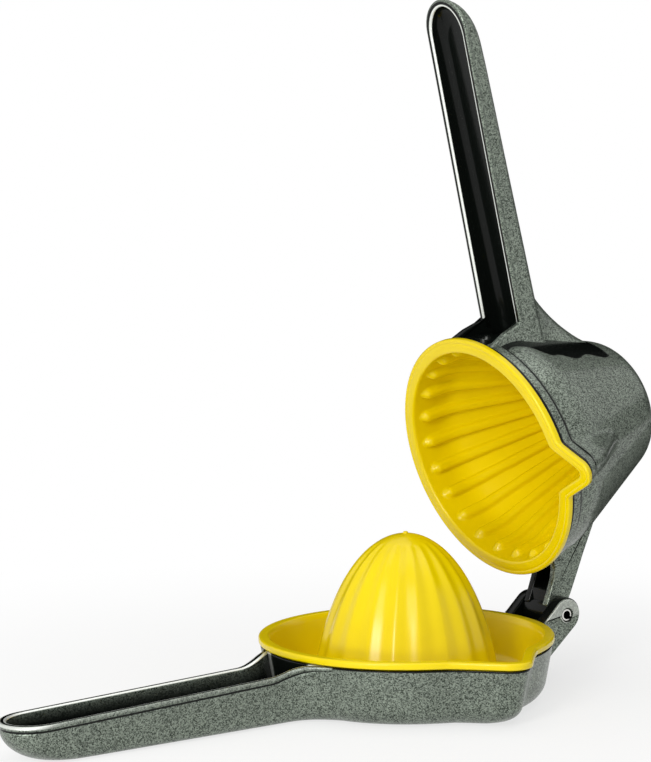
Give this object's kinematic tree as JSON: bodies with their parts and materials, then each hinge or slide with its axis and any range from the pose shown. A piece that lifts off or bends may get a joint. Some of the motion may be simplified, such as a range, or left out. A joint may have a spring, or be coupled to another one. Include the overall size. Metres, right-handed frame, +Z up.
{
  "type": "hinged lemon squeezer",
  "caption": "Hinged hand squeezer for lemons: cast metal levers on one pin, a yellow dish with a fluted reamer below, and a ribbed yellow cup in the upper lever.",
  "frame": {"origin": "on the resting plane, under the middle of the dish", "axes": "+X to the hinge and -X to the lower handle's tip, -Y to the pouring spouts, +Z up"},
  "size_m": [0.2386, 0.1068, 0.2218],
  "materials": {
    "casting": "die-cast aluminium with a glossy grey-green metallic lacquer",
    "insert": "glossy yellow moulded plastic",
    "pin": "bright rolled spring steel"
  },
  "bodies": {
    "lower": {"lower_casting": "casting", "reamer_dish": "insert", "hinge_pin": "pin"},
    "upper": {"upper_casting": "casting", "ribbed_cup": "insert"}
  },
  "joints": [
    {"name": "lever_hinge", "type": "hinge", "parent": "lower", "child": "upper", "pos_m": [0.05803, 0, 0.0214], "axis": [0, 1, 0], "range_deg": [-75, 45]}
  ]
}
